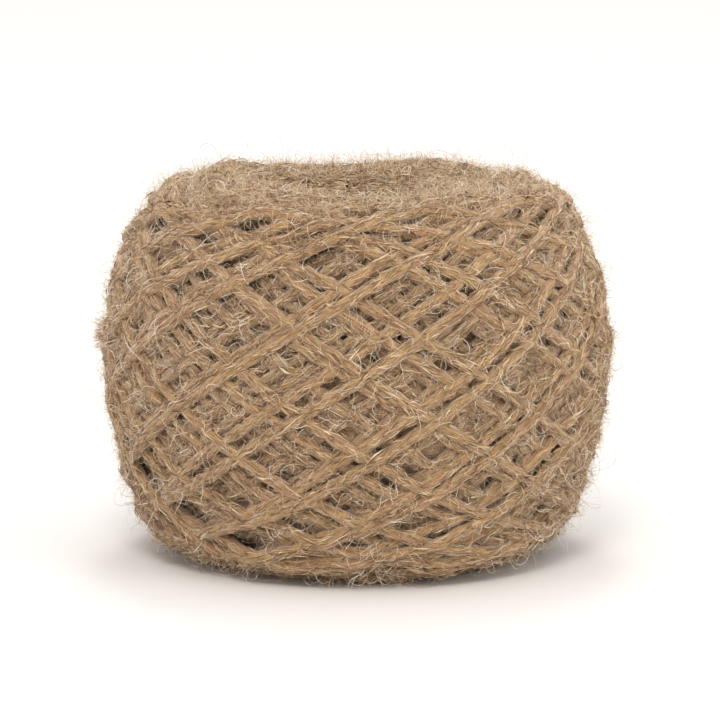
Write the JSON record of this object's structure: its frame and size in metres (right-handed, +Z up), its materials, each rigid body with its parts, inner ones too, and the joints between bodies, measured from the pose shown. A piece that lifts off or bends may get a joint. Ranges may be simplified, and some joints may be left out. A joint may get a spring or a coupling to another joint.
{
  "type": "ball of alpaca yarn",
  "caption": "Soft two-ply alpaca yarn wound into a squat round ball, with crossed turns, a dished top, a centre hollow and a small flat foot.",
  "frame": {"origin": "middle of the flat foot, on the surface that the ball stands on", "axes": "+Z up along the centre hollow; the outer turns climb to the right as seen from -Y"},
  "size_m": [0.0798, 0.0793, 0.059],
  "materials": {
    "yarn": "soft, fuzzy, matt spun alpaca"
  },
  "bodies": {
    "root": {"yarn_ball": "yarn"}
  },
  "joints": []
}
